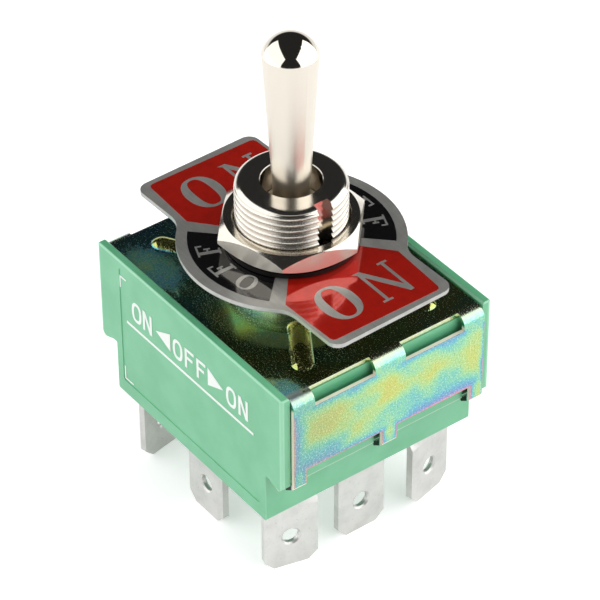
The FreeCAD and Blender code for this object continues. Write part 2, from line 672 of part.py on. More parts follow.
def make_spring(y):
    """Short compression spring between the carrier and one plunger."""
    mean = (SPRING_DIAMETER - SPRING_WIRE) / 2
    rise = SPRING_LENGTH - SPRING_WIRE - 2 * PLUNGER_PLAY
    base = V(0, y, plunger_top + SPRING_WIRE / 2 + PLUNGER_PLAY)
    helix = Part.makeHelix(rise / SPRING_TURNS, rise, mean)
    helix.translate(base)
    circle = Part.makeCircle(SPRING_WIRE / 2, base + V(mean, 0, 0), Y_AXIS)
    pipe = Part.Wire(helix.Edges).makePipeShell([Part.Wire([circle])], True, True)
    return Part.Solid(pipe) if pipe.ShapeType == "Shell" else pipe


def make_plunger(y):
    """Round-nosed pin that slides over one rocking contact."""
    radius = PLUNGER_DIAMETER / 2
    body = cylinder(radius, V(0, y, plunger_tip + radius), V(0, y, plunger_top))
    nose = Part.makeSphere(radius, V(0, y, plunger_tip + radius))
    return body.fuse(nose).removeSplitter()


def make_rocker(y):
    """Shallow V strip with trunnions: its dip holds the plunger at OFF."""
    rise = math.tan(math.radians(ROCKER_TILT))
    thickness = ROCKER_THICKNESS / math.cos(math.radians(ROCKER_TILT))
    ends = ROCKER_REACH
    outline = [
        (-ends, rocker_seat + ends * rise, 0.1), (0, rocker_seat, 0), (ends, rocker_seat + ends * rise, 0.1),
        (ends, rocker_seat + ends * rise - thickness, 0.1), (0, rocker_seat - thickness, 0),
        (-ends, rocker_seat + ends * rise - thickness, 0.1),
    ]
    half = ROCKER_WIDTH / 2
    strip = profile_along_y(outline, y - half, y + half)
    reach = COMMON_BLADE_OFFSET
    pin = cylinder(TRUNNION_DIAMETER / 2, V(0, y - reach, rocker_pivot), V(0, y + reach, rocker_pivot))
    shape = fuse(strip, pin)
    for sign in (1, -1):
        shape = shape.cut(contact_rivet_hole(y, sign))
    return shape


def tilted_at_contact(shape, y, sign):
    """Turn a part drawn level so that it lies on one arm of the rocker."""
    shape.rotate(V(0, y, rocker_seat), Y_AXIS, -sign * ROCKER_TILT)
    return shape


def contact_rivet_hole(y, sign):
    x = sign * CONTACT_REACH
    hole = cylinder(RIVET_DIAMETER / 2, V(x, y, rocker_seat - 2), V(x, y, rocker_seat + 2))
    return tilted_at_contact(hole, y, sign)


def contact_button(x, y, seat, up, shank):
    """Low crowned button with a rivet shank through its carrier strip."""
    direction = V(0, 0, 1 if up else -1)
    foot = V(x, y, seat)
    radius = CONTACT_DIAMETER / 2
    head = cylinder(radius, foot, foot + direction * CONTACT_HEIGHT)
    crown = (radius ** 2 + CONTACT_CROWN ** 2) / (2 * CONTACT_CROWN)
    head = head.common(Part.makeSphere(crown, foot + direction * (CONTACT_HEIGHT - crown)))
    rivet = cylinder(RIVET_DIAMETER / 2, foot - direction * shank, foot + direction * (CONTACT_HEIGHT / 2))
    return head.fuse(rivet).removeSplitter()


def make_moving_contacts(y):
    """The two silver buttons riveted under one rocker."""
    buttons = []
    for sign in (1, -1):
        button = contact_button(sign * CONTACT_REACH, y, rocker_seat - ROCKER_THICKNESS, False,
                                ROCKER_THICKNESS)
        buttons.append(tilted_at_contact(button, y, sign))
    return Part.makeCompound(buttons)


def fixed_contact_top():
    """Height at which a fixed contact meets the rocker's tilted button."""
    tilt = math.radians(ROCKER_TILT)
    seat = V(0, 0, rocker_seat - rocker_pivot)
    face = rocker_seat - ROCKER_THICKNESS - CONTACT_HEIGHT
    # Point of the moving button at rest, on the arm that rises outwards
    level = V(CONTACT_REACH, 0, face - rocker_seat)
    x = level.x * math.cos(tilt) - level.z * math.sin(tilt)
    z = level.x * math.sin(tilt) + level.z * math.cos(tilt) + seat.z
    closed_z = -x * math.sin(tilt) + z * math.cos(tilt)
    return rocker_pivot + closed_z - CLOSED_CONTACT_GAP


def blade_outline(width):
    """Half of a blade's outline: width along u, height along v."""
    half = width / 2
    return [
        (-half, housing_bottom - TWIST_LENGTH, 0),
        (-half, blade_bottom + BLADE_CHAMFER, BLADE_TIP_RADIUS),
        (-half + BLADE_CHAMFER, blade_bottom, BLADE_TIP_RADIUS),
        (half - BLADE_CHAMFER, blade_bottom, BLADE_TIP_RADIUS),
        (half, blade_bottom + BLADE_CHAMFER, BLADE_TIP_RADIUS),
        (half, housing_bottom - TWIST_LENGTH, 0),
    ]


def exposed_blade(twist):
    """Blade below the housing, facing +X and centred on the origin, turned by twist."""
    half_t = BLADE_THICKNESS / 2
    half_w = BLADE_WIDTH / 2
    blade = profile_along_x(blade_outline(BLADE_WIDTH), -half_t, half_t)
    hole_z = blade_bottom + BLADE_HOLE_UP
    hole_r = BLADE_HOLE_DIAMETER / 2
    edge = BLADE_HOLE_CHAMFER
    hole = cylinder(hole_r, V(-1, 0, hole_z), V(1, 0, hole_z))
    for sign in (1, -1):
        cone = Part.makeCone(hole_r, hole_r + 2 * edge, 2 * edge,
                             V(sign * (half_t - edge), 0, hole_z), V(sign, 0, 0))
        hole = hole.fuse(cone)
    blade = blade.cut(hole)
    blade.rotate(V(0, 0, 0), Z_AXIS, twist)
    corners = [V(-half_t, -half_w, 0), V(half_t, -half_w, 0), V(half_t, half_w, 0), V(-half_t, half_w, 0)]
    upper = Part.makePolygon([p + V(0, 0, housing_bottom) for p in corners + corners[:1]])
    lower = Part.makePolygon([p + V(0, 0, housing_bottom - TWIST_LENGTH) for p in corners + corners[:1]])
    lower.rotate(V(0, 0, 0), Z_AXIS, twist)
    neck = Part.makeLoft([upper, lower], True, True)
    return blade.fuse(neck)


def make_end_terminal(side, pole, y):
    """Blade, upright and inward shelf, folded from one strip."""
    shelf_top = fixed_contact_top() - CONTACT_HEIGHT
    outer = END_BLADE_REACH
    inner = outer - BLADE_THICKNESS
    fold = FOLD_INNER_RADIUS
    half = BLADE_WIDTH / 2
    strip = profile_along_y([
        (outer, housing_bottom, 0), (outer, shelf_top, fold + BLADE_THICKNESS),
        (SHELF_INNER_REACH, shelf_top, 0.15),
        (SHELF_INNER_REACH, shelf_top - BLADE_THICKNESS, 0.15),
        (inner, shelf_top - BLADE_THICKNESS, fold), (inner, housing_bottom, 0),
    ], -half, half)
    strip = strip.cut(cylinder(RIVET_DIAMETER / 2, V(CONTACT_REACH, 0, shelf_top - 2),
                               V(CONTACT_REACH, 0, shelf_top + 1)))
    if side == "minus":
        strip = mirrored_x(strip)
    twist = END_BLADE_TWISTS.get((side, pole), 0.0)
    blade = exposed_blade(twist)
    sign = 1 if side == "plus" else -1
    blade.translate(V(sign * (outer - BLADE_THICKNESS / 2), 0, 0))
    terminal = fuse(strip, blade)
    terminal.translate(V(0, y, 0))
    return terminal


def make_fixed_contacts(y):
    """The two silver buttons riveted to the end terminals of one pole."""
    seat = fixed_contact_top() - CONTACT_HEIGHT
    buttons = [contact_button(x, y, seat, True, BLADE_THICKNESS)
               for x in (CONTACT_REACH, -CONTACT_REACH)]
    return Part.makeCompound(buttons)


def make_common_terminal(y):
    """Blade whose upper end is a U-shaped cradle with notches for the trunnions."""
    outer = COMMON_BLADE_OFFSET
    t = BLADE_THICKNESS
    fold = FOLD_INNER_RADIUS
    half = BLADE_WIDTH / 2
    neck = CRADLE_NECK_WIDTH / 2
    top = rocker_pivot + CRADLE_ABOVE_PIVOT
    foot = floor_top
    channel = profile_along_x([
        (-outer, top, 0), (-outer, foot, fold + t), (outer, foot, fold + t), (outer, top, 0),
        (outer - t, top, 0), (outer - t, foot + t, fold), (-outer + t, foot + t, fold), (-outer + t, top, 0),
    ], -half, half)
    # Both uprights narrow towards the top, where the trunnions rest
    shoulder = cradle_foot + (top - cradle_foot) * CRADLE_SHOULDER_SHARE
    low = shoulder - CRADLE_TAPER_HEIGHT / 2
    high = shoulder + CRADLE_TAPER_HEIGHT / 2
    bend = CRADLE_BEND_RADIUS
    tip = CRADLE_TIP_RADIUS
    face_outline = profile_along_y([
        (-half, foot - 1, 0), (half, foot - 1, 0), (half, low, bend), (neck, high, bend),
        (neck, top, tip), (-neck, top, tip), (-neck, high, bend), (-half, low, bend),
    ], -outer - 1, outer + 1)
    notch_r = TRUNNION_DIAMETER / 2 + TRUNNION_PLAY
    notch = cylinder(notch_r, V(0, -outer - 1, rocker_pivot), V(0, outer + 1, rocker_pivot))
    notch = notch.fuse(box(-notch_r, notch_r, -outer - 1, outer + 1, rocker_pivot, top + 1))
    cradle = channel.common(face_outline).cut(notch)
    # The blade carries on down through the floor in the plane of one upright
    root = box(-half, half, -outer, -outer + t, housing_bottom, foot + fold + t)
    blade = exposed_blade(0.0)
    blade.rotate(V(0, 0, 0), Z_AXIS, 90)
    blade.translate(V(0, -outer + t / 2, 0))
    terminal = fuse(cradle, root, blade)
    terminal.translate(V(0, y, 0))
    return terminal


def main():
    os.makedirs("parts", exist_ok=True)
    save("housing", make_housing())
    save("bracket", make_bracket())
    save("bushing", make_bushing())
    save("pivot_pin", make_pivot_pin())
    save("lower_nut", make_nut(lower_nut_bottom, LOWER_NUT_TURN))
    save("legend_plate", make_legend_plate())
    save("lock_washer", make_lock_washer())
    save("upper_nut", make_nut(upper_nut_bottom, UPPER_NUT_TURN))
    save("toggle_lever", make_lever())
    save("insulating_plate", make_insulating_plate())
    save("carrier", make_carrier())
    for i, y in enumerate(pole_centres):
        pole = i + 1
        save("plunger_spring_%d" % pole, make_spring(y))
        save("plunger_%d" % pole, make_plunger(y))
        save("rocker_%d" % pole, make_rocker(y))
        save("moving_contacts_%d" % pole, make_moving_contacts(y))
        save("fixed_contacts_%d" % pole, make_fixed_contacts(y))
        save("common_terminal_%d" % pole, make_common_terminal(y))
        for side in ("plus", "minus"):
            save("end_terminal_%s_%d" % (side, pole), make_end_terminal(side, pole, y))
    print("carrier travel %.4f mm, slide per radian %.4f mm, pivot of rockers z %.4f" % (
        carrier_travel, carrier_travel / math.radians(LEVER_TILT), rocker_pivot))


main()
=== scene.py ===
import math

import bmesh
import bpy
from mathutils import Matrix, Vector

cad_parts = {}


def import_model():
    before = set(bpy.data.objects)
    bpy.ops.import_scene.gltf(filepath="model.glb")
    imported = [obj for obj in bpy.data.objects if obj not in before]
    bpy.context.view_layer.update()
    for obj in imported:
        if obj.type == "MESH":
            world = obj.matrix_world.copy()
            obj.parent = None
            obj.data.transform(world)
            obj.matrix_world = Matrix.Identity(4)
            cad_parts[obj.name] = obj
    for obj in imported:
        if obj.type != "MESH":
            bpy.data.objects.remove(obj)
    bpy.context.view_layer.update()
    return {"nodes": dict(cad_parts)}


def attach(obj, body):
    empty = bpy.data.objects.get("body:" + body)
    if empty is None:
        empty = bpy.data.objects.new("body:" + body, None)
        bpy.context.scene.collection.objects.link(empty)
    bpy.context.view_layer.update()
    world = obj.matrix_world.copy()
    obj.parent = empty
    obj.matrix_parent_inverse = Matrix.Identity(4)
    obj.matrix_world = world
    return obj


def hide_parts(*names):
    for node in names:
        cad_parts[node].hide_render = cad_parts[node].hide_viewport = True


MM = 0.001

# Steps of a round shape, a rounded edge and a letter's oval
ROUND_STEPS = 96
EDGE_STEPS = 8
OVAL_POINTS = 40

# In millimetres: how near points are merged, and how far a cutter reaches past what it cuts
MERGE = 1e-4
SPARE = 1

# An edge of the bushing sharper than this many degrees stays sharp
SHARP_ANGLE = 32

# Where things stand on the switch, in millimetres from its origin
BLADE_FOOT = -27.5
BUSHING_TOP = 12.45
BUSHING_RADIUS = 6.0
THREAD_PITCH = 0.75
THREAD_DEPTH = 0.3
THREAD_START = 1.2
# Depth of the thread from crest to crest, in eighths of the pitch: round crest, narrow root
THREAD_PROFILE = (0.0, 0.08, 0.4, 0.85, 1.0, 0.85, 0.4, 0.08)
TOP_ROUNDING = 0.9
MOUTH_RADIUS = 3.25
MOUTH_EDGE = 0.08
BORE_RADIUS = 4.1
PIVOT_HEIGHT = 6.8
COLLAR_RADIUS = 7.2
COLLAR_CHAMFER = 0.25
TAIL_RADIUS = 5.0
LIP_RADIUS = 5.7
LIP_BOTTOM = -0.85
SHEET = 0.5
NUT_TOP = 7.97
NUT_FACE_RADIUS = 7.15
NUT_CHAMFER_SLOPE = 0.7536
KEYWAY_FLOOR = 4.9
KEYWAY_HALF = 0.9
LEGEND_TOP = 4.95
LEGEND_BACK = 4.45
PRINT_HEIGHT = 0.03
PRINT_STAGGER = 0.002
LABEL_FACE = -13.54
SHOULDER_HEIGHT = 28.3
SHEET_EDGE = 12.42
FLANGE_FACE = 16.92
FLANGE_FOOT = -9.8
SLOT_START = 1.975
SLOT_END = 9.725
SLOT_FOOT = -1.7
SHOULDER_DROP = 12.1
UPRIGHT_EDGE = 29.6
LEG_MIDDLE = 0.95
LEG_SIDE = 10.82

# Camera fitted to the photograph
CAMERA_AZIMUTH = 53.283
CAMERA_ELEVATION = 39.139
CAMERA_DISTANCE = 338.388
CAMERA_RIGHT = 0.832
CAMERA_UP = -2.836
CAMERA_ROLL = 0.283
FOCAL_PIXELS = 3209.292
FRAME_PIXELS = 600
SENSOR = 36.0
NEAREST_SEEN = 0.01

# Soft boxes: angle from the camera's, leftwards negative, and power in watts
BOXES = (("left_box", -82, 2.4), ("right_box", 84, 2.9))
# Their angle above the floor, and their distance and size in metres
BOX_ELEVATION = 28
BOX_DISTANCE = 0.5
BOX_SIZE = (0.98, 0.56)

# Light levels of the studio
AMBIENT = 0.5
DARK_ROOM = 0.02
HORIZON_FOOT = 0.05
HORIZON_TOP = 0.25
FLOOR_SEEN = 0.42
FLOOR_MIRRORED = 0.3

# Half the width of the floor, in millimetres
FLOOR_HALF = 1500

WHITE = (1.0, 1.0, 1.0, 1.0)
BLACK = (0.0, 0.0, 0.0, 1.0)
FLOOR_GREY = (0.85, 0.85, 0.85, 1.0)


class Wire:
    """A shader value that takes part in ordinary arithmetic."""

    def __init__(self, shop, socket):
        self.shop = shop
        self.socket = socket

    def math(self, operation, *others):
        values = [self] + list(others)
        return self.shop.node("ShaderNodeMath", {"operation": operation}, dict(enumerate(values)))

    def __add__(self, other):
        return self.math("ADD", other)

    def __radd__(self, other):
        return self.math("ADD", other)

    def __sub__(self, other):
        return self.math("SUBTRACT", other)

    def __rsub__(self, other):
        return self.shop.node("ShaderNodeMath", {"operation": "SUBTRACT"}, {0: other, 1: self})

    def __mul__(self, other):
        return self.math("MULTIPLY", other)

    def __rmul__(self, other):
        return self.math("MULTIPLY", other)

    def __truediv__(self, other):
        return self.math("DIVIDE", other)

    def __abs__(self):
        return self.math("ABSOLUTE")

    def least(self, other):
        return self.math("MINIMUM", other)

    def most(self, other):
        return self.math("MAXIMUM", other)

    def root(self):
        return self.math("SQRT")

    def step(self, low, high):
        """0 below low and 1 above high, with a smooth rise between."""
        settings = {"interpolation_type": "SMOOTHSTEP"}
        inputs = {"Value": self, "From Min": low, "From Max": high}
        return self.shop.node("ShaderNodeMapRange", settings, inputs)

    def fall(self, low, high):
        """1 below low and 0 above high."""
        return 1.0 - self.step(low, high)

    def near(self, place, inner, outer):
        """1 within inner of a place and 0 beyond outer."""
        return abs(self - place).fall(inner, outer)

    def towards(self, other, share):
        """This value where share is 0, and the other where share is 1."""
        return self * (1.0 - share) + other * share


class Finish:
    """One material, or the world, and the nodes that make it."""

    def __init__(self, owner):
        self.owner = owner
        owner.use_nodes = True
        self.tree = owner.node_tree
        self.tree.nodes.clear()

    def node(self, kind, settings=None, inputs=None, output=0):
        """Add a node, set it up, feed its sockets and give the output asked for."""
        made = self.tree.nodes.new(kind)
        for name, value in (settings or {}).items():
            if name == "stops":
                self.set_stops(made.color_ramp, value)
            else:
                setattr(made, name, value)
        for key, value in (inputs or {}).items():
            socket = made.inputs[key]
            if isinstance(value, Wire):
                self.tree.links.new(value.socket, socket)
            else:
                socket.default_value = value
        if isinstance(output, tuple):
            return [Wire(self, made.outputs[i]) for i in output]
        return Wire(self, made.outputs[output]) if made.outputs else None

    def set_stops(self, ramp, stops):
        while len(ramp.elements) > 1:
            ramp.elements.remove(ramp.elements[-1])
        for i, (place, colour) in enumerate(stops):
            stop = ramp.elements[0] if i == 0 else ramp.elements.new(place)
            stop.position = place
            stop.color = colour

    def position(self, scale=(1, 1, 1), shift=(0, 0, 0)):
        """The point on the object in millimetres, stretched and shifted for a pattern."""
        place = self.node("ShaderNodeTexCoord", output="Object")
        scaled = tuple(s / MM for s in scale)
        inputs = {"Vector": place, "Scale": scaled, "Location": shift}
        return self.node("ShaderNodeMapping", None, inputs)

    def split(self, vector):
        """The three parts of a vector as separate values."""
        return self.node("ShaderNodeSeparateXYZ", None, {0: vector}, output=(0, 1, 2))

    def axes(self):
        """X, Y and Z in millimetres as separate values."""
        return self.split(self.position())

    def noise(self, scale, detail=3.0, rough=0.5, stretch=(1, 1, 1), shift=(0, 0, 0)):
        place = self.position(stretch, shift)
        inputs = {"Vector": place, "Scale": scale, "Detail": detail, "Roughness": rough}
        return self.node("ShaderNodeTexNoise", None, inputs)

    def blend(self, share, first, second):
        """The first colour where share is 0, and the second where share is 1."""
        inputs = {0: share, 6: first, 7: second}
        return self.node("ShaderNodeMix", {"data_type": "RGBA"}, inputs, output=2)

    def ramp(self, value, stops):
        return self.node("ShaderNodeValToRGB", {"stops": stops}, {0: value})

    def bump(self, height, strength, distance):
        inputs = {"Height": height, "Strength": strength, "Distance": distance * MM}
        return self.node("ShaderNodeBump", None, inputs)

    def close(self, **sockets):
        """End the material in a Principled shader with these sockets."""
        inputs = {key.replace("_", " "): value for key, value in sockets.items()}
        shader = self.node("ShaderNodeBsdfPrincipled", None, inputs)
        self.node("ShaderNodeOutputMaterial", None, {"Surface": shader})
        return self.owner


def new_finish(name):
    return Finish(bpy.data.materials.new(name))


def srgb(text):
    """A linear colour from a written one such as 8cc9a5."""
    parts = [int(text[i:i + 2], 16) / 255 for i in (0, 2, 4)]
    linear = [c / 12.92 if c <= 0.04045 else ((c + 0.055) / 1.055) ** 2.4 for c in parts]
    return (*linear, 1.0)


# Finishes

# Colours that the plating's thin film runs through, from a cut edge inwards
FILM_COLOURS = [
    (0.00, "f6cd9f"),
    (0.07, "e8a08c"),
    (0.11, "d98ab4"),
    (0.16, "9a90d0"),
    (0.23, "629ace"),
    (0.33, "5fb9cc"),
    (0.42, "78ccb6"),
    (0.50, "96d4a2"),
    (0.58, "aed58a"),
    (0.68, "c3cf6c"),
    (0.80, "c9c35c"),
    (0.95, "aecf86"),
]

# Ovals on the bracket's top where its film or its polish differs: centre and half size
CORNER_PATCH = ((15.2, -12.0), (2.6, 2.4))
MIDDLE_PATCH = ((1.5, -9.8), (6.5, 2.2))
BACK_PATCH = ((-9.5, -11.2), (5.2, 3.2))
END_PATCH = ((13.0, -5.0), (1.8, 3.2))

# Pairs of millimetres between which a mask rises or falls
SHOULDER_ENDS = (14.6, 14.8)
RIM_FOOT = (0.14, 0.2)
RIM_TOP = (0.37, 0.395)
FLANGE_REACH = (15.95, 16.75)
BEND_REACH = (15.2, 15.8)
BEND_RISE = (-0.9, -0.1)
BEAD_RISE = (0.03, 0.15)
CUT_UNDER = (-1.4, -1.0)
LEG_TIP_REACH = (16.3, 16.4)
LEG_TIP_TOP = (-10.6, -10.2)
FLANGE_SHADE_SPAN = (-11.5, 0.5)
THREAD_REACH = (5.3, 5.5)
THREAD_GROOVE = (5.7, 5.95)
BORE_REACH = (3.3, 3.4)

# How far the housing's upright edges stand further in under the shoulders
LOWER_EDGE_INSET = 0.6

PALE_SPECK = (1.0, 1.0, 0.9, 1.0)
DARK_SPECK = (0.05, 0.07, 0.05, 1.0)
WARM_SPARK = (1.0, 0.97, 0.85, 1.0)


def edge_highlights(x, y, z):
    """Painted highlight on the housing's upright edges, its rim and the ledge round the label
    panel.
    """
    under = z.fall(-SHOULDER_DROP - 0.15, -SHOULDER_DROP + 0.05)
    corner = (abs(x) + abs(y) - UPRIGHT_EDGE + under * LOWER_EDGE_INSET).step(0.0, 0.15)
    rim = z.step(*RIM_FOOT) * z.fall(*RIM_TOP)
    ledge = y.near(LABEL_FACE - 0.04, 0.02, 0.036)
    return corner.most(rim).most(ledge)


def green_moulding():
    """Glossy green plastic, a little cloudy."""
    f = new_finish("green_moulding")
    x, y, z = f.axes()
    cloud = f.noise(0.22, 3.0).step(0.3, 0.7)
    colour = f.blend(cloud, srgb("58b07f"), srgb("66ba8b"))
    # Thin painted highlight along the lower edge of both shoulders, and a painted shadow under it
    at_ends = abs(x).step(*SHOULDER_ENDS)
    shoulder_highlight = z.near(-SHOULDER_DROP + 0.04, 0.08, 0.18) * at_ends
    shoulder_shadow = z.near(-SHOULDER_DROP - 0.12, 0.08, 0.16) * at_ends
    colour = f.blend(shoulder_highlight * 0.5, colour, srgb("d8dccf"))
    colour = f.blend(shoulder_shadow * 0.9, colour, srgb("8f7666"))
    # Painted highlight along the upright edges, the rim and the label's ledge
    colour = f.blend(edge_highlights(x, y, z) * 0.5, colour, srgb("a8e4c0"))
    grain = f.noise(6.0, 4.0)
    return f.close(Base_Color=colour, Roughness=0.3 + grain * 0.14, IOR=1.6,
                   Specular_IOR_Level=1.0, Normal=f.bump(grain, 0.12, 0.02))


def cut_distance(across, height, low, high, foot, side):
    """Distance from a rectangle cut into the flange, above (1) or below (-1) its foot."""
    beside = (low - across).most(across - high).most(0.0)
    beyond = ((foot - height) * side).most(0.0)
    return (beside * beside + beyond * beyond).root()


def edge_distance(y, z):
    """Distance from the nearest edge of a flange; the film is wider along some edges."""
    across = abs(y)
    slot = cut_distance(across, z, SLOT_START, SLOT_END, SLOT_FOOT, 1)
    notch = cut_distance(across, z, LEG_MIDDLE, LEG_SIDE, FLANGE_FOOT, -1)
    side = (SHEET_EDGE + y).least((SHEET_EDGE - y) * 2.5)
    return side.least(slot * 0.9).least(notch * 0.7).most(0.0)


def patch(x, y, place, edge):
    """1 inside an oval of the top face, fading out over its rim."""
    (centre_x, centre_y), (half_x, half_y) = place
    across = (x - centre_x) / half_x
    along = (y - centre_y) / half_y
    reach = (across * across + along * along).root() + edge
    return reach.fall(0.55, 1.1)


def flange_film(f, y, z, drift, fine, grain):
    """Thickness of the film on the flanges, which is thin at their edges."""
    edge = edge_distance(y, z)
    spread = f.noise(0.16, 1.0, 0.5, shift=(7.0, 3.0, 5.0)).step(0.4, 0.62) * 1.2 + 0.5
    film = edge / (edge + spread) * 0.73 + drift * edge.step(0.3, 2.2) * 0.8
    film = film + fine * 0.16 + (grain - 0.5) * 0.1 + 0.07
    legs = z.fall(FLANGE_FOOT - 0.4, FLANGE_FOOT + 0.6) * edge.step(0.05, 0.25)
    bridge = z.step(SLOT_FOOT - 0.6, SLOT_FOOT + 0.5)
    return (film + legs * 0.14).towards(drift * 0.5 + fine * 0.3 + 0.46, bridge)


def top_film(x, z, drift, fine, corner, middle):
    """Thickness of the film on the top face and on its beads."""
    film = x * 0.009 + drift * 0.5 + fine * 0.25 + 0.47 - corner * 0.2 + middle * 0.1
    return film.towards(fine * 0.2 + 0.74, z.step(*BEAD_RISE))


def plated_sheet():
    """Yellow zinc plating: its film runs through the colours of thin oil near every edge."""
    f = new_finish("plated_sheet")
    x, y, z = f.axes()
    on_flange = abs(x).step(*FLANGE_REACH)
    on_top = 1.0 - on_flange
    drift = f.noise(0.26, 2.0, 0.5, stretch=(1.0, 0.8, 1.0)) - 0.5
    fine = f.noise(1.6, 3.0, 0.6) - 0.5
    grain = f.noise(5.5, 2.0, 0.7)
    corner = patch(x, y, CORNER_PATCH, fine)
    middle = patch(x, y, MIDDLE_PATCH, fine)
    on_flanges = flange_film(f, y, z, drift, fine, grain) * on_flange
    film = on_flanges + top_film(x, z, drift, fine, corner, middle) * on_top
    shade = f.ramp(film, [(place, srgb(text)) for place, text in FILM_COLOURS])
    shade = f.blend(on_flange * 0.08, shade, srgb("dfe6ba"))
    # Painted shade: the flanges darker towards the label's side
    shade = f.blend(y.fall(*FLANGE_SHADE_SPAN) * on_flange * 0.42, shade, srgb("6f9f80"))
    # Crystals of the zinc
    sparkle = f.noise(6.5, 2.0, 0.6, shift=(2.0, 9.0, 4.0)).step(0.56, 0.68) * on_top
    shade = f.blend(grain.step(0.48, 0.75) * 0.42, shade, PALE_SPECK)
    shade = f.blend(grain.fall(0.3, 0.46) * 0.3, shade, DARK_SPECK)
    # Painted highlight along the bend
    bend_highlight = z.step(*BEND_RISE) * abs(x).step(*BEND_REACH)
    shade = f.blend(bend_highlight * 0.5, shade, srgb("f7f5e6"))
    shade = f.blend(sparkle * 0.4, shade, WARM_SPARK)
    # Raw steel where the sheet was cut through, painted near white as a highlight
    depth = FLANGE_FACE - abs(x)
    cut = depth.step(0.02, 0.06) * depth.fall(SHEET - 0.06, SHEET - 0.02) * z.fall(*CUT_UNDER)
    shade = f.blend(cut, shade, srgb("fff3e2"))
    # The folded tips of the legs lie in the shade of their grooves
    tucked = abs(x).fall(*LEG_TIP_REACH) * z.fall(*LEG_TIP_TOP)
    shade = f.blend(tucked, shade, srgb("24211a"))
    # Patches of the top that have lost their polish
    matt = (patch(x, y, BACK_PATCH, fine) * 2.0).most(middle * 0.75).most(corner)
    matt = matt.most(patch(x, y, END_PATCH, fine) * 0.25) * on_top
    rough = 0.07 + matt * 0.2 + on_flange * 0.2 + sparkle * 0.22 + cut * 0.2 + bend_highlight * 0.1
    height = f.noise(7.0, 2.0, 0.7) * on_flange + sparkle * 0.4
    return f.close(Base_Color=shade, Metallic=1.0 - cut * 0.9, Roughness=rough,
                   Normal=f.bump(height, 0.5, 0.03))


def bright_nickel(name, tint, where, worn):
    """Nickel plating; where gives the part that has lost its polish, and where it is darker and
    browner.
    """
    f = new_finish(name)
    smear = f.noise(1.2, 3.0)
    scratch = f.noise(2.0, 4.0, 0.7, stretch=(1.0, 1.0, 0.3))
    dull, darkening = where(*f.axes())
    shade = f.blend(smear * 0.12 + darkening, srgb(tint), srgb("7d6c58"))
    return f.close(Base_Color=shade, Metallic=1.0 - dull * worn * 0.45,
                   Roughness=0.12 + smear * 0.06 + dull * worn, Normal=f.bump(scratch, 0.1, 0.02))


def on_thread(x, y, z):
    """The turns of the bushing's thread, and how much darker and browner it is between them and
    down the bore.
    """
    reach = (x * x + y * y).root()
    in_keyway = abs(y).fall(KEYWAY_HALF, KEYWAY_HALF + 0.02) * x.step(0.0, 1.0)
    turns = reach.step(*THREAD_REACH) * z.fall(BUSHING_TOP - 0.9, BUSHING_TOP - 0.5)
    turns = turns * (1.0 - in_keyway)
    darkening = (turns * reach.fall(*THREAD_GROOVE)).most(reach.fall(*BORE_REACH) * 0.5)
    return turns, darkening * 0.6


def on_nut_flats(x, y, z):
    """The six flats of a nut, without its chamfer and face; they are not made darker."""
    reach = (x * x + y * y).root()
    under_chamfer = NUT_TOP - (reach - NUT_FACE_RADIUS) * NUT_CHAMFER_SLOPE - z
    beyond_face = reach.step(NUT_FACE_RADIUS + 0.02, NUT_FACE_RADIUS + 0.06)
    return under_chamfer.step(0.02, 0.1) * beyond_face, 0.0


def turned_nickel():
    """Lever: fine turning lines on the cone and a polished dome."""
    f = new_finish("turned_nickel")
    height = f.axes()[2]
    dome = height.step(SHOULDER_HEIGHT - 0.05, SHOULDER_HEIGHT + 0.12)
    cone = 1.0 - dome
    lines = f.noise(1.0, 6.0, 0.7, stretch=(0.03, 0.03, 7.0))
    relief = lines * cone + f.noise(3.0, 2.0) * dome * 0.15
    return f.close(Base_Color=f.blend(lines * 0.2, srgb("e9e2d6"), srgb("cfc6b6")), Metallic=1.0,
                   Roughness=0.06 + cone * (0.2 + lines * 0.12), Normal=f.bump(relief, 0.35, 0.02))


def plain(name, colour, rough, metallic=0.0, grain=0.05, dust=0.1):
    """One colour with a faint cloud and a fine grain."""
    f = new_finish(name)
    cloud = f.noise(0.6, 3.0)
    shade = f.blend(cloud * dust, srgb(colour), BLACK)
    return f.close(Base_Color=shade, Metallic=metallic, Roughness=rough + cloud * 0.06,
                   Normal=f.bump(f.noise(5.0, 3.0), grain, 0.02))


def silvered_sheet():
    """Silvered brass of the blades, cloudy and a little specked."""
    f = new_finish("silvered_sheet")
    cloud = f.noise(0.5, 4.0, 0.6).step(0.35, 0.75)
    specks = f.noise(4.0, 2.0).step(0.66, 0.74)
    shade = f.blend(cloud, srgb("dcdbd8"), srgb("cfcecb"))
    shade = f.blend(specks * 0.3, shade, srgb("8f8c86"))
    return f.close(Base_Color=shade, Metallic=0.8, Roughness=0.4,
                   Normal=f.bump(f.noise(3.0, 4.0), 0.12, 0.03))


def lacquered(name, colour, metallic):
    """Glossy print on bright sheet."""
    f = new_finish(name)
    wear = f.noise(0.8, 4.0, 0.6).step(0.35, 0.8)
    shade = f.blend(wear * 0.2, srgb(colour), BLACK)
    return f.close(Base_Color=shade, Metallic=metallic, Roughness=0.1 + wear * 0.06,
                   Coat_Weight=1.0, Coat_Roughness=0.04, Specular_IOR_Level=0.9)


def brushed_sheet(name, colour):
    """Bare sheet of the legend plate, brushed along its length, with a dark back."""
    f = new_finish(name)
    back = f.axes()[2].fall(LEGEND_BACK + 0.01, LEGEND_BACK + 0.03)
    streak = f.noise(1.5, 4.0, 0.6, stretch=(0.25, 2.5, 1.0))
    cloud = f.noise(0.5, 2.0).step(0.35, 0.7)
    shade = f.blend(streak * 0.5 + cloud * 0.2, srgb(colour), srgb("8d8c88"))
    shade = f.blend(back, shade, srgb("262624"))
    return f.close(Base_Color=shade, Metallic=0.72 - back * 0.5,
                   Roughness=0.32 + streak * 0.16 + back * 0.2, Normal=f.bump(streak, 0.2, 0.02))


# Shapes

def add_object(name, data):
    """An object in the scene for a mesh, a lamp or a camera."""
    obj = bpy.data.objects.new(name, data)
    bpy.context.scene.collection.objects.link(obj)
    return obj


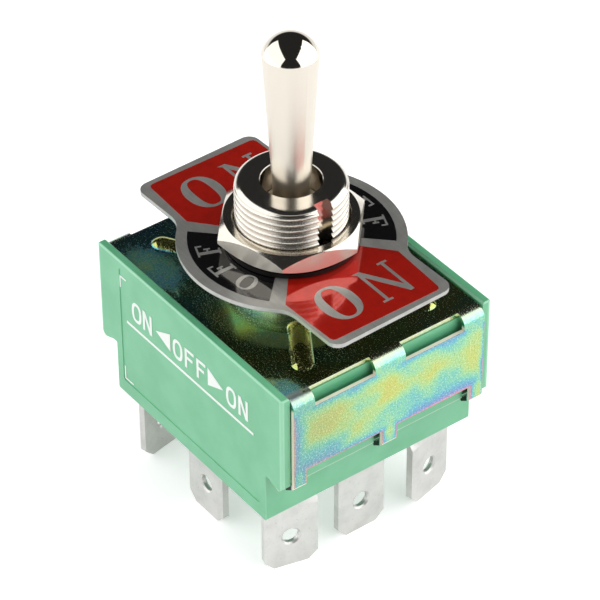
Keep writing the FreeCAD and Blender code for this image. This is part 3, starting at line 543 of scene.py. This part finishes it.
def mesh_object(name, bm):
    """An object with the bmesh's faces, as large as they were drawn."""
    mesh = bpy.data.meshes.new(name)
    bm.to_mesh(mesh)
    bm.free()
    return add_object(name, mesh)


def piece(name, bm, material, smooth=0):
    """Make a finished object of the switch's body from a bmesh drawn in millimetres."""
    bmesh.ops.scale(bm, vec=(MM, MM, MM), verts=bm.verts)
    obj = mesh_object(name, bm)
    obj.data.materials.append(material)
    if smooth:
        obj.data.shade_smooth()
        obj.data.set_sharp_from_angle(angle=math.radians(smooth))
    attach(obj, "switch_body")
    return obj


def spun(bm, outline, closed, **settings):
    """Spin an outline of (radius, height) points once round Z, and merge the seam."""
    points = [bm.verts.new((r, 0, z)) for r, z in outline]
    following = points[1:] + points[:1] if closed else points[1:]
    edges = [bm.edges.new(pair) for pair in zip(points, following)]
    bmesh.ops.spin(bm, geom=points + edges, cent=(0, 0, 0), axis=(0, 0, 1), angle=2 * math.pi,
                   steps=ROUND_STEPS, **settings)
    bmesh.ops.remove_doubles(bm, verts=bm.verts, dist=MERGE)


def lathe(outline):
    """Turn a closed outline of (radius, height) points about Z into a solid."""
    bm = bmesh.new()
    spun(bm, outline, True, use_merge=True)
    bmesh.ops.dissolve_degenerate(bm, edges=bm.edges, dist=MERGE)
    bmesh.ops.recalc_face_normals(bm, faces=bm.faces)
    return bm


def block(low, high):
    """A box between two corners."""
    bm = bmesh.new()
    bmesh.ops.create_cube(bm, size=1.0)
    size = [b - a for a, b in zip(low, high)]
    middle = [(a + b) / 2 for a, b in zip(low, high)]
    bmesh.ops.scale(bm, vec=size, verts=bm.verts)
    bmesh.ops.translate(bm, vec=middle, verts=bm.verts)
    return bm


def combine(target, other, operation):
    """Join or cut two solids and drop the second one."""
    modifier = target.modifiers.new(operation, "BOOLEAN")
    modifier.operation = operation
    modifier.solver = "EXACT"
    modifier.object = other
    bpy.context.view_layer.update()
    finished = target.evaluated_get(bpy.context.evaluated_depsgraph_get())
    result = bpy.data.meshes.new_from_object(finished)
    target.modifiers.clear()
    old = target.data
    target.data = result
    bpy.data.meshes.remove(old)
    bpy.data.objects.remove(other)


def screw_rod():
    """Closed rod with a helical thread, from the collar up to the bushing's top."""
    low = THREAD_START - 2 * THREAD_PITCH
    turns = int((BUSHING_TOP - low) / THREAD_PITCH) + 3
    parts = len(THREAD_PROFILE)
    outline = []
    for i in range(turns * parts):
        depth = THREAD_DEPTH * THREAD_PROFILE[i % parts]
        outline.append((BUSHING_RADIUS - depth, low + i * THREAD_PITCH / parts))
    bm = bmesh.new()
    spun(bm, outline, False, dvec=(0, 0, THREAD_PITCH / ROUND_STEPS), use_merge=False)
    for height, outer in ((BUSHING_TOP + 0.2, True), (THREAD_START - 0.3, False)):
        bmesh.ops.bisect_plane(bm, geom=bm.verts[:] + bm.edges[:] + bm.faces[:],
                               plane_co=(0, 0, height), plane_no=(0, 0, 1),
                               clear_outer=outer, clear_inner=not outer)
    bmesh.ops.holes_fill(bm, edges=[e for e in bm.edges if e.is_boundary], sides=0)
    bmesh.ops.recalc_face_normals(bm, faces=bm.faces)
    return bm


def turned_blank():
    """Bar that the thread is cut in: its top edge is rounded."""
    radius = BUSHING_RADIUS + 0.02
    outline = [(0, THREAD_START - SPARE), (radius, THREAD_START - SPARE)]
    for i in range(EDGE_STEPS + 1):
        a = math.radians(i * 90 / EDGE_STEPS)
        outline.append((radius - TOP_ROUNDING * (1 - math.cos(a)),
                        BUSHING_TOP - TOP_ROUNDING * (1 - math.sin(a))))
    return lathe(outline + [(0, BUSHING_TOP)])


def collar():
    """Collar on the bracket, and the tail and riveted lip under it."""
    return lathe([(0, LIP_BOTTOM), (LIP_RADIUS, LIP_BOTTOM), (LIP_RADIUS, -SHEET),
                  (TAIL_RADIUS, -SHEET), (TAIL_RADIUS, 0), (COLLAR_RADIUS, 0),
                  (COLLAR_RADIUS, THREAD_START - COLLAR_CHAMFER),
                  (COLLAR_RADIUS - COLLAR_CHAMFER, THREAD_START), (0, THREAD_START)])


def bore():
    """What is cut out along the axis: the bore, the ball's round seat and the mouth."""
    outline = [(0, LIP_BOTTOM - SPARE), (BORE_RADIUS, LIP_BOTTOM - SPARE)]
    for i in range(EDGE_STEPS + 1):
        a = math.acos(MOUTH_RADIUS / BORE_RADIUS) * i / EDGE_STEPS
        outline.append((BORE_RADIUS * math.cos(a), PIVOT_HEIGHT + BORE_RADIUS * math.sin(a)))
    return lathe(outline + [(MOUTH_RADIUS, BUSHING_TOP - MOUTH_EDGE),
                            (MOUTH_RADIUS + MOUTH_EDGE, BUSHING_TOP),
                            (MOUTH_RADIUS + MOUTH_EDGE, BUSHING_TOP + SPARE),
                            (0, BUSHING_TOP + SPARE)])


def make_bushing(material):
    """Threaded bushing, drawn with the thread that the solid leaves out."""
    body = mesh_object("threaded_bushing_body", screw_rod())
    combine(body, mesh_object("blank", turned_blank()), "INTERSECT")
    combine(body, mesh_object("collar", collar()), "UNION")
    combine(body, mesh_object("bore", bore()), "DIFFERENCE")
    keyway = block((KEYWAY_FLOOR, -KEYWAY_HALF, THREAD_START),
                   (BUSHING_RADIUS + SPARE, KEYWAY_HALF, BUSHING_TOP + SPARE))
    combine(body, mesh_object("keyway", keyway), "DIFFERENCE")
    bm = bmesh.new()
    bm.from_mesh(body.data)
    bpy.data.objects.remove(body)
    bmesh.ops.dissolve_degenerate(bm, edges=bm.edges, dist=MERGE)
    bmesh.ops.triangulate(bm, faces=[face for face in bm.faces if len(face.verts) > 4])
    return piece("threaded_bushing", bm, material, smooth=SHARP_ANGLE)


def flat_shape(bm, outline):
    """A flat face; neighbours differ by microns, so that they never share a plane."""
    z = PRINT_STAGGER * (len(bm.faces) % 7)
    bm.faces.new([bm.verts.new((x, y, z)) for x, y in outline])


def oval(cx, cy, rx, ry, power):
    """Points round an oval; a power above 2 makes it squarer."""
    points = []
    for i in range(OVAL_POINTS):
        a = 2 * math.pi * i / OVAL_POINTS
        c, s = math.cos(a), math.sin(a)
        points.append((cx + rx * math.copysign(abs(c) ** (2 / power), c),
                       cy + ry * math.copysign(abs(s) ** (2 / power), s)))
    return points


def ring_shape(bm, outer, inner):
    """A flat ring between two outlines with as many points each."""
    outside = [bm.verts.new((x, y, 0)) for x, y in outer]
    inside = [bm.verts.new((x, y, 0)) for x, y in inner]
    count = len(outside)
    for i in range(count):
        j = (i + 1) % count
        bm.faces.new((outside[i], outside[j], inside[j], inside[i]))


def bar(bm, left, low, right, high):
    """A flat upright rectangle of print."""
    flat_shape(bm, [(left, low), (right, low), (right, high), (left, high)])


def roman_o(bm, width, height, thick, thin):
    """Ring with thick sides."""
    x, y = width / 2, height / 2
    ring_shape(bm, oval(x, y, x, y, 2.2), oval(x, y, x - thick, y - thin, 2.7))


def roman_n(bm, width, height, thick, thin):
    """Two thin stems, a thick diagonal and three serifs."""
    left = 0.145 * width
    right = 0.85 * width
    bar(bm, left - thin / 2, 0, left + thin / 2, height)
    bar(bm, right - thin / 2, 0, right + thin / 2, height)
    bar(bm, 0, 0, 0.28 * width, 0.75 * thin)
    bar(bm, 0.73 * width, height - 0.75 * thin, width, height)
    flat_shape(bm, [(-0.01 * width, height), (thick * 0.9, height),
                    (right + thin / 2, 0.11 * height), (right + thin / 2, 0),
                    (right - thick * 0.25, 0), (left - thin / 2, 0.93 * height)])


def roman_f(bm, width, height, thick, thin):
    """Thick stem with a foot, a long top arm and a short middle arm."""
    left = 0.16 * width
    bar(bm, left, 0, left + thick, height)
    bar(bm, 0, 0, left * 2 + thick, thin)
    bar(bm, 0, height - thin, width, height)
    bar(bm, width - thin, 0.72 * height, width, height)
    bar(bm, left, 0.5 * height, 0.68 * width, 0.5 * height + thin)
    bar(bm, 0.68 * width - thin, 0.4 * height, 0.68 * width, 0.6 * height + thin)


def plain_o(bm, width, height, stroke):
    """Ring of one stroke."""
    x, y = width / 2, height / 2
    ring_shape(bm, oval(x, y, x, y, 2.6), oval(x, y, x - stroke, y - stroke, 2.6))


def plain_n(bm, width, height, stroke):
    """Two stems and a diagonal."""
    bar(bm, 0, 0, stroke, height)
    bar(bm, width - stroke, 0, width, height)
    slant = stroke * 1.15
    flat_shape(bm, [(0, height), (width - slant, 0), (width, 0), (slant, height)])


def plain_f(bm, width, height, stroke):
    """A stem and two arms."""
    bar(bm, 0, 0, stroke, height)
    bar(bm, 0, height - stroke, width, height)
    bar(bm, 0, 0.47 * height, 0.86 * width, 0.47 * height + stroke)


def turn(angle):
    """A turn about Z in degrees."""
    return Matrix.Rotation(math.radians(angle), 4, "Z")


def stamp(bm, draw, sizes, matrix):
    """Draw one letter at the origin, then carry it to its place."""
    before = len(bm.verts)
    draw(bm, *sizes)
    bm.verts.ensure_lookup_table()
    bmesh.ops.transform(bm, matrix=matrix, verts=bm.verts[before:])


def thicken(bm):
    """Give flat print a body, so that it is a closed, very thin solid."""
    bmesh.ops.recalc_face_normals(bm, faces=bm.faces)
    for face in bm.faces:
        if face.normal.z < 0:
            face.normal_flip()
    made = bmesh.ops.extrude_face_region(bm, geom=bm.faces[:])
    risen = [v for v in made["geom"] if isinstance(v, bmesh.types.BMVert)]
    bmesh.ops.translate(bm, vec=(0, 0, PRINT_HEIGHT), verts=risen)
    bmesh.ops.recalc_face_normals(bm, faces=bm.faces)


def arc(radius, start, end, count=16):
    """Points on a circle round the bushing, angles in degrees."""
    points = []
    for i in range(count + 1):
        a = math.radians(start + (end - start) * i / count)
        points.append((radius * math.cos(a), radius * math.sin(a)))
    return points


# Prints on the legend plate

# Red and black fields, and the bare spokes between them
FIELD_END = 16.2
FIELD_HALF = 6.95
FIELD_WAIST = (8.7, 7.28)
FIELD_CORNER = 0.5
ARC_OUTER = 10.95
FIELD_HOLE = 6.9
SPOKE_ANGLE = 45.2
SPOKE_HALF = 0.68

# Letters: width, height, thick stroke and thin stroke
ON_O = (4.3, 5.65, 1.08, 0.36)
ON_N = (4.4, 5.5, 1.05, 0.36)
OFF_O = (2.15, 2.45, 0.5, 0.22)
OFF_F = (1.85, 2.5, 0.45, 0.2)

# Foot of each ON word along X with its shift along Y, and where its two letters start
ON_PLACES = ((14.55, 0.0), (-8.9, -0.1))
ON_O_START = -4.93
ON_N_START = 0.9

# The OFF letters' distance from the bushing's axis, and the angle of each round it
OFF_FOOT = 7.75
OFF_LETTERS = ((roman_o, -67.6, OFF_O), (roman_f, -89.9, OFF_F), (roman_f, -111.5, OFF_F))


def beside_spoke(radius, side):
    """Angle of the point at this radius on one edge of the bare spoke."""
    return SPOKE_ANGLE + side * math.degrees(math.asin(SPOKE_HALF / radius))


def red_field():
    """Outline of the field over the tab on the +X side."""
    cut = FIELD_CORNER * 0.3
    corner = [(FIELD_END, FIELD_HALF - FIELD_CORNER), (FIELD_END - cut, FIELD_HALF - cut),
              (FIELD_END - FIELD_CORNER, FIELD_HALF)]
    edge = beside_spoke(FIELD_HOLE, -1)
    waist_x, waist_y = FIELD_WAIST
    return ([(x, -y) for x, y in reversed(corner)] + corner + [(waist_x, waist_y)]
            + arc(FIELD_HOLE, edge, -edge) + [(waist_x, -waist_y)])


def black_field():
    """Outline of an arc between two spokes, centred on +X."""
    outside = 90 - beside_spoke(ARC_OUTER, 1)
    inside = 90 - beside_spoke(FIELD_HOLE, 1)
    return arc(ARC_OUTER, -outside, outside, 24) + arc(FIELD_HOLE, inside, -inside, 24)


def make_legend_prints(red, black, bare):
    """Red fields over the two ON tabs, black arcs between, and bare letters."""
    raised = Matrix.Translation((0, 0, LEGEND_TOP))
    fields = [("legend_red_near", red_field(), 0, red),
              ("legend_red_far", red_field(), 180, red),
              ("legend_black_front", black_field(), -90, black),
              ("legend_black_back", black_field(), 90, black)]
    for name, outline, angle, material in fields:
        bm = bmesh.new()
        flat_shape(bm, outline)
        thicken(bm)
        bmesh.ops.transform(bm, matrix=raised @ turn(angle), verts=bm.verts)
        piece(name, bm, material)
    letters = bmesh.new()
    # Both ON words read from the +X side
    for foot, shift in ON_PLACES:
        for draw, sizes, start in ((roman_o, ON_O, ON_O_START), (roman_n, ON_N, ON_N_START)):
            stamp(letters, draw, sizes, Matrix.Translation((foot, shift + start, 0)) @ turn(90))
    # Both OFF words have their tops outwards
    for side in (0, 180):
        for draw, angle, sizes in OFF_LETTERS:
            centred = Matrix.Translation((-sizes[0] / 2, OFF_FOOT, 0))
            stamp(letters, draw, sizes, turn(side + angle - 90) @ centred)
    thicken(letters)
    height = LEGEND_TOP + PRINT_HEIGHT * 0.8
    bmesh.ops.translate(letters, vec=(0, 0, height), verts=letters.verts)
    piece("legend_letters", letters, bare)


# Print on the label panel

# Each letter with its left edge and its width along X
LABEL_WORDS = ((plain_o, -10.35, 1.75), (plain_n, -8.3, 1.65),
               (plain_o, -2.8, 1.75), (plain_f, -0.6, 1.6), (plain_f, 1.5, 1.6),
               (plain_o, 6.75, 1.75), (plain_n, 8.9, 1.65))
WORD_TOP = -3.72
WORD_HEIGHT = 2.6
WORD_STROKE = 0.37
ARROWS = (((-5.9, -5.0), (-3.25, -6.1), (-3.25, -3.75)),
          ((6.2, -5.0), (3.5, -3.75), (3.5, -6.1)))

# Bars given by their left, lower, right and upper edges: the line, and two marks at the corners
MARK_STROKE = 0.2
LABEL_BARS = ((-11.45, -7.54, 11.45, -7.21),
              (-12.5, -3.2, -12.5 + MARK_STROKE, -1.6),
              (-12.5, -1.6 - MARK_STROKE, -11.3, -1.6),
              (-12.3, -15.9, -12.3 + MARK_STROKE, -14.1),
              (-12.3, -15.9, -10.7, -15.9 + MARK_STROKE))


def make_label_print(ink):
    """White print on the near long wall: positions, arrows, a line and corner marks."""
    bm = bmesh.new()
    for draw, left, width in LABEL_WORDS:
        place = Matrix.Translation((left, WORD_TOP - WORD_HEIGHT, 0))
        stamp(bm, draw, (width, WORD_HEIGHT, WORD_STROKE), place)
    for outline in ARROWS:
        flat_shape(bm, outline)
    for edges in LABEL_BARS:
        bar(bm, *edges)
    thicken(bm)
    stand = Matrix.Translation((0, LABEL_FACE, 0)) @ Matrix.Rotation(math.radians(90), 4, "X")
    bmesh.ops.transform(bm, matrix=stand, verts=bm.verts)
    piece("position_print", bm, ink)


# Studio

def outwards(azimuth, elevation):
    """Direction from the switch; azimuth in degrees from -Y towards +X."""
    a = math.radians(azimuth)
    e = math.radians(elevation)
    return Vector((math.sin(a) * math.cos(e), -math.cos(a) * math.cos(e), math.sin(e)))


def make_camera():
    """A camera that stands where the photograph was taken from."""
    out = outwards(CAMERA_AZIMUTH, CAMERA_ELEVATION)
    up = outwards(CAMERA_AZIMUTH + 180, 90 - CAMERA_ELEVATION)
    right = up.cross(out)
    place = (out * CAMERA_DISTANCE + right * CAMERA_RIGHT + up * CAMERA_UP) * MM
    roll = math.radians(CAMERA_ROLL)
    across = right * math.cos(roll) - up * math.sin(roll)
    above = right * math.sin(roll) + up * math.cos(roll)
    data = bpy.data.cameras.new("camera")
    data.sensor_width = SENSOR
    data.lens = FOCAL_PIXELS / FRAME_PIXELS * SENSOR
    data.clip_start = NEAREST_SEEN
    camera = add_object("camera", data)
    rotation = Matrix((across, above, out)).transposed().to_4x4()
    camera.matrix_world = Matrix.Translation(place) @ rotation
    bpy.context.scene.camera = camera


def make_lamp(name, azimuth, power):
    """A soft box facing the switch."""
    out = outwards(CAMERA_AZIMUTH + azimuth, BOX_ELEVATION)
    data = bpy.data.lights.new(name, "AREA")
    data.shape = "RECTANGLE"
    data.size, data.size_y = BOX_SIZE
    data.energy = power
    lamp = add_object(name, data)
    lamp.location = out * BOX_DISTANCE
    lamp.rotation_euler = out.to_track_quat("Z", "Y").to_euler()


def make_world():
    """White to the camera; mirrored, a white horizon under a dark room."""
    world = bpy.data.worlds.new("studio")
    bpy.context.scene.world = world
    f = Finish(world)
    height = f.split(f.node("ShaderNodeTexCoord", output="Generated"))[2]
    rays = {name: f.node("ShaderNodeLightPath", output=name)
            for name in ("Is Camera Ray", "Is Glossy Ray", "Is Transmission Ray")}
    mirrored = rays["Is Glossy Ray"].most(rays["Is Transmission Ray"])
    room = 1.0 - height.step(HORIZON_FOOT, HORIZON_TOP) * (1.0 - DARK_ROOM)
    level = rays["Is Camera Ray"].most(mirrored * room).most((1.0 - mirrored) * AMBIENT)
    back = f.node("ShaderNodeBackground", None, {"Color": WHITE, "Strength": level})
    f.node("ShaderNodeOutputWorld", None, {"Surface": back})


def make_floor():
    """White floor under the blades, bright where the camera or a mirror sees it."""
    bm = bmesh.new()
    bmesh.ops.create_grid(bm, x_segments=1, y_segments=1, size=FLOOR_HALF)
    bmesh.ops.translate(bm, vec=(0, 0, BLADE_FOOT), verts=bm.verts)
    bmesh.ops.scale(bm, vec=(MM, MM, MM), verts=bm.verts)
    floor = mesh_object("floor", bm)
    f = new_finish("white_floor")
    seen = f.node("ShaderNodeLightPath", output="Is Camera Ray") * FLOOR_SEEN
    mirrored = f.node("ShaderNodeLightPath", output="Is Glossy Ray") * FLOOR_MIRRORED
    finish = f.close(Base_Color=FLOOR_GREY, Roughness=0.9, Specular_IOR_Level=0.0,
                     Emission_Color=WHITE, Emission_Strength=seen.most(mirrored))
    floor.data.materials.append(finish)


def poles(*names):
    """The names of these pieces at all three poles."""
    return [name + pole for name in names for pole in ("1", "2", "3")]


def paint(nodes, names, material):
    """Give CAD nodes a finish."""
    for name in names:
        for slot in nodes[name].material_slots:
            slot.material = material


def paint_nodes(nodes):
    """Finishes of the pieces whose shape comes from the CAD."""
    blade_rows = ("common_terminal_", "end_terminal_plus_", "end_terminal_minus_")
    contact_rows = ("moving_contacts_", "fixed_contacts_")
    paint(nodes, ["housing"], green_moulding())
    paint(nodes, ["bracket"], plated_sheet())
    nut_nickel = bright_nickel("nut_nickel", "e9e3d7", on_nut_flats, worn=0.2)
    paint(nodes, ["upper_nut", "lower_nut"], nut_nickel)
    black_steel = plain("black_washer", "1a1816", rough=0.38, metallic=0.6, grain=0.15)
    paint(nodes, ["lock_washer"], black_steel)
    paint(nodes, ["legend_plate"], brushed_sheet("bare_legend_sheet", "cfcfcb"))
    paint(nodes, ["toggle_lever"], turned_nickel())
    paint(nodes, ["pivot_pin"], plain("pin_steel", "a8a6a2", rough=0.25, metallic=1.0))
    paint(nodes, ["insulating_plate"], plain("brown_fibre", "5a3a26", rough=0.6, grain=0.2))
    paint(nodes, ["carrier"], plain("ivory_moulding", "e6dfcc", rough=0.42))
    paint(nodes, poles("plunger_"), plain("dark_plunger", "2b2b2d", rough=0.4))
    paint(nodes, poles("plunger_spring_"), plain("spring_wire", "b5b3ae", rough=0.22, metallic=1.0))
    copper = plain("copper_strip", "c98a5e", rough=0.28, metallic=1.0, grain=0.06)
    paint(nodes, poles("rocker_"), copper)
    silver = plain("silver_contact", "e4e2dc", rough=0.2, metallic=1.0)
    paint(nodes, poles(*contact_rows), silver)
    paint(nodes, poles(*blade_rows), silvered_sheet())


def main():
    scene = bpy.context.scene
    scene.view_settings.view_transform = "Standard"
    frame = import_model()

    paint_nodes(frame["nodes"])
    bushing = make_bushing(bright_nickel("satin_nickel", "ebe6dc", on_thread, worn=0.12))
    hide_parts("bushing")
    make_legend_prints(lacquered("red_print", "cf2416", metallic=0.5),
                       lacquered("black_print", "08080a", metallic=0.0),
                       brushed_sheet("bare_letter_sheet", "d2d2ce"))
    make_label_print(plain("white_ink", "eef2ee", rough=0.5, dust=0.03))

    make_floor()
    make_world()
    for box in BOXES:
        make_lamp(*box)
    make_camera()


main()
